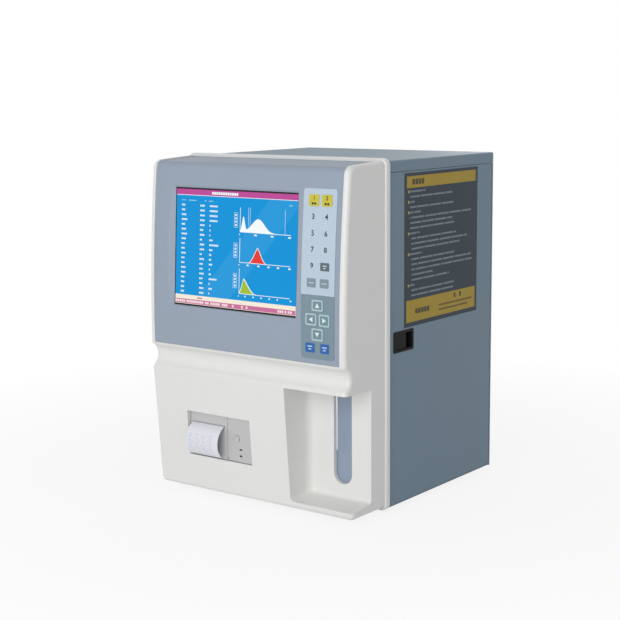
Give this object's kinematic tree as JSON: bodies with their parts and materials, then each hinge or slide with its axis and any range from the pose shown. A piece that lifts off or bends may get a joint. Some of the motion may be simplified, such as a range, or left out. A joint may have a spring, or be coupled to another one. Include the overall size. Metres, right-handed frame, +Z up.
{
  "type": "hematology analyzer",
  "caption": "Bench-top blood cell counter with a curved console, colour display, strip printer, open sampling niche and a sheet-metal case with a hinged service door.",
  "frame": {"origin": "on the bench, under the middle of the sheet-metal case", "axes": "+X to the viewer's right, +Y to the back, +Z up"},
  "size_m": [0.342, 0.394, 0.4768],
  "materials": {
    "white_moulding": "satin injection moulded white",
    "console_blue": "satin grey-blue moulded sheet",
    "keypad_film": "fine matt polyester film",
    "screen_glass": "lit colour display behind clear glass",
    "case_paint": "fine textured powder coat, grey-blue",
    "plated_steel": "zinc plated sheet steel",
    "bright_steel": "polished stainless steel",
    "printer_grey": "light grey moulded plastic",
    "paper_white": "smooth thermal paper",
    "lamp_dark": "unlit smoked lamp lens",
    "aspirate_blue": "satin blue-grey moulded plate",
    "door_print": "printed slate and yellow film",
    "black_plastic": "black moulded plastic",
    "clear_plastic": "clear acrylic and borosilicate",
    "rubber_black": "soft black rubber",
    "board_green": "green solder mask with black parts",
    "aluminium_block": "clear anodised aluminium",
    "brass_metal": "turned brass",
    "natural_plastic": "natural acetal"
  },
  "bodies": {
    "case": {"front_bezel": "white_moulding", "console_panel": "console_blue", "membrane_keypad": "keypad_film", "display_glass": "screen_glass", "display_module": "plated_steel", "printer_housing": "printer_grey", "printer_lamps": "lamp_dark", "roll_spindle": "natural_plastic", "print_head": "aluminium_block", "wash_block": "natural_plastic", "probe_tower": "plated_steel", "guide_rod": "bright_steel", "probe_motor": "black_plastic", "aspirate_bracket": "plated_steel", "front_frame": "plated_steel", "base_pan": "case_paint", "left_side_panel": "case_paint", "rear_panel": "case_paint", "top_cover": "case_paint", "pivot_brackets": "plated_steel", "pivot_pins": "bright_steel", "mounting_plate": "plated_steel", "bath_holder": "aluminium_block", "white_cell_bath": "clear_plastic", "red_cell_bath": "clear_plastic", "syringe_bracket": "aluminium_block", "syringe_barrels": "clear_plastic", "syringe_motor": "black_plastic", "fluid_tubing": "clear_plastic", "pinch_valves": "natural_plastic", "diaphragm_pump": "black_plastic", "vacuum_chamber": "clear_plastic", "main_board": "board_green", "power_supply": "plated_steel", "fan_frame": "black_plastic", "finger_guard": "bright_steel", "mains_inlet": "black_plastic", "rocker_frame": "black_plastic", "earth_post": "brass_metal", "reagent_fittings": "natural_plastic", "data_sockets": "plated_steel", "case_screws": "bright_steel", "rubber_feet": "rubber_black"},
    "side_door": {"side_door": "case_paint", "door_sheet": "door_print", "latch_housing": "black_plastic"},
    "latch_paddle": {"latch_paddle": "black_plastic"},
    "printer_door": {"printer_door": "printer_grey", "paper_strip": "paper_white"},
    "feed_button": {"feed_button": "printer_grey"},
    "paper_roll": {"paper_roll": "paper_white"},
    "platen_roller": {"platen_roller": "rubber_black"},
    "probe_carriage": {"probe_carriage": "aluminium_block", "sample_probe": "bright_steel"},
    "lead_screw": {"lead_screw": "bright_steel"},
    "aspirate_plate": {"aspirate_plate": "aspirate_blue"},
    "syringe_plungers": {"syringe_plungers": "natural_plastic"},
    "syringe_screw": {"syringe_screw": "bright_steel"},
    "fan_rotor": {"fan_rotor": "black_plastic"},
    "mains_rocker": {"mains_rocker": "black_plastic"}
  },
  "joints": [
    {"name": "side_door_hinge", "type": "hinge", "parent": "case", "child": "side_door", "pos_m": [0.1643, 0.12525, 0.232], "axis": [0, 0, 1], "range_deg": [0, 100]},
    {"name": "latch_paddle_hinge", "type": "hinge", "parent": "side_door", "child": "latch_paddle", "pos_m": [0.1662, -0.11845, 0.23125], "axis": [0, 0, -1], "range_deg": [0, 30], "stiffness_Nm_per_rad": 0.02},
    {"name": "printer_door_hinge", "type": "hinge", "parent": "case", "child": "printer_door", "pos_m": [-0.075, -0.22365, 0.0626], "axis": [1, 0, 0], "range_deg": [0, 80]},
    {"name": "feed_button_press", "type": "slide", "parent": "case", "child": "feed_button", "axis": [0, 1, 0], "range_m": [0, 0.0015], "stiffness_N_per_m": 300},
    {"name": "paper_roll_spin", "type": "hinge", "parent": "case", "child": "paper_roll", "pos_m": [-0.0745, -0.18675, 0.091], "axis": [1, 0, 0], "continuous": true},
    {"name": "platen_spin", "type": "hinge", "parent": "printer_door", "child": "platen_roller", "pos_m": [-0.0745, -0.21555, 0.1116], "axis": [1, 0, 0], "continuous": true},
    {"name": "probe_lift", "type": "slide", "parent": "case", "child": "probe_carriage", "axis": [0, 0, 1], "range_m": [0, 0.07]},
    {"name": "lead_screw_turn", "type": "hinge", "parent": "case", "child": "lead_screw", "pos_m": [0.133, -0.17875, 0.253], "axis": [0, 0, 1], "continuous": true},
    {"name": "aspirate_plate_push", "type": "slide", "parent": "case", "child": "aspirate_plate", "axis": [0, 1, 0], "range_m": [0, 0.0025], "stiffness_N_per_m": 600},
    {"name": "syringe_stroke", "type": "slide", "parent": "case", "child": "syringe_plungers", "axis": [0, 0, -1], "range_m": [0, 0.025]},
    {"name": "syringe_screw_turn", "type": "hinge", "parent": "case", "child": "syringe_screw", "pos_m": [0.09, 0.05925, 0.207], "axis": [0, 0, 1], "continuous": true},
    {"name": "fan_spin", "type": "hinge", "parent": "case", "child": "fan_rotor", "pos_m": [-0.088, 0.12475, 0.359], "axis": [0, 1, 0], "continuous": true},
    {"name": "mains_rocker_tilt", "type": "hinge", "parent": "case", "child": "mains_rocker", "pos_m": [-0.112, 0.13525, 0.103], "axis": [0, 0, 1], "range_deg": [0, 20]}
  ],
  "couplings": [
    {"joint": "platen_spin", "follows": "paper_roll_spin", "ratio": -5},
    {"joint": "lead_screw_turn", "follows": "probe_lift", "rad_per_m": 628.32},
    {"joint": "syringe_screw_turn", "follows": "syringe_stroke", "rad_per_m": 785.4}
  ]
}
